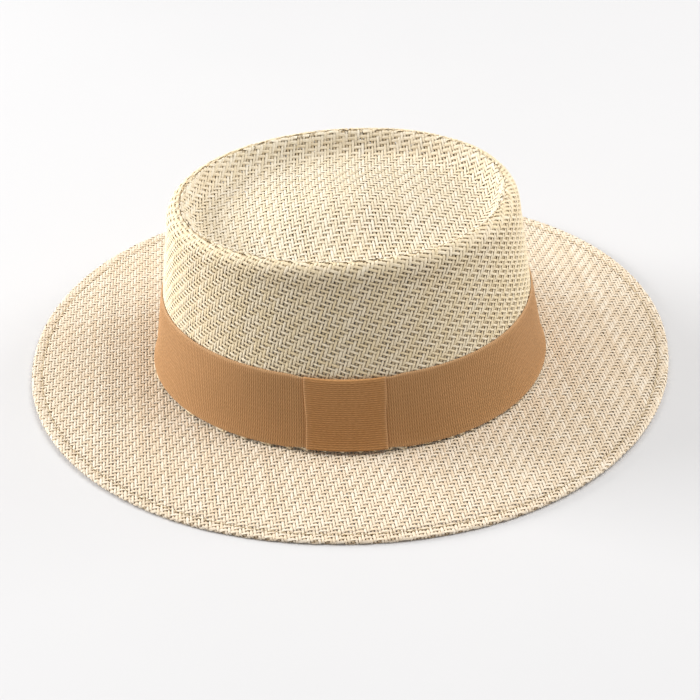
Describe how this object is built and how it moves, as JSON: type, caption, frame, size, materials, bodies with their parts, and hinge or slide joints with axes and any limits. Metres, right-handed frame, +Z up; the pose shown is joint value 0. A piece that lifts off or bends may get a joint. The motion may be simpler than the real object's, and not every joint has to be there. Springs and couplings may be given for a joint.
{
  "type": "straw hat with telescope crown and ribbon band",
  "caption": "Cream straw hat with a wide flat oval brim, a straight-sided crown with a sunken top, and a tan ribbon band with a keeper.",
  "frame": {"origin": "on the surface the hat stands on, below the middle of the brim", "axes": "+X along the head's length towards its wider end, +Z up, the ribbon keeper on the -Y side"},
  "size_m": [0.3284, 0.2982, 0.1059],
  "materials": {
    "straw_cloth": "matte twill-woven paper straw",
    "ribbon": "ribbed grosgrain with a dull sheen"
  },
  "bodies": {
    "root": {"crown_side": "straw_cloth", "crown_tip": "straw_cloth", "brim": "straw_cloth", "brim_hem": "straw_cloth", "ribbon_band": "ribbon", "ribbon_keeper": "ribbon"}
  },
  "joints": []
}
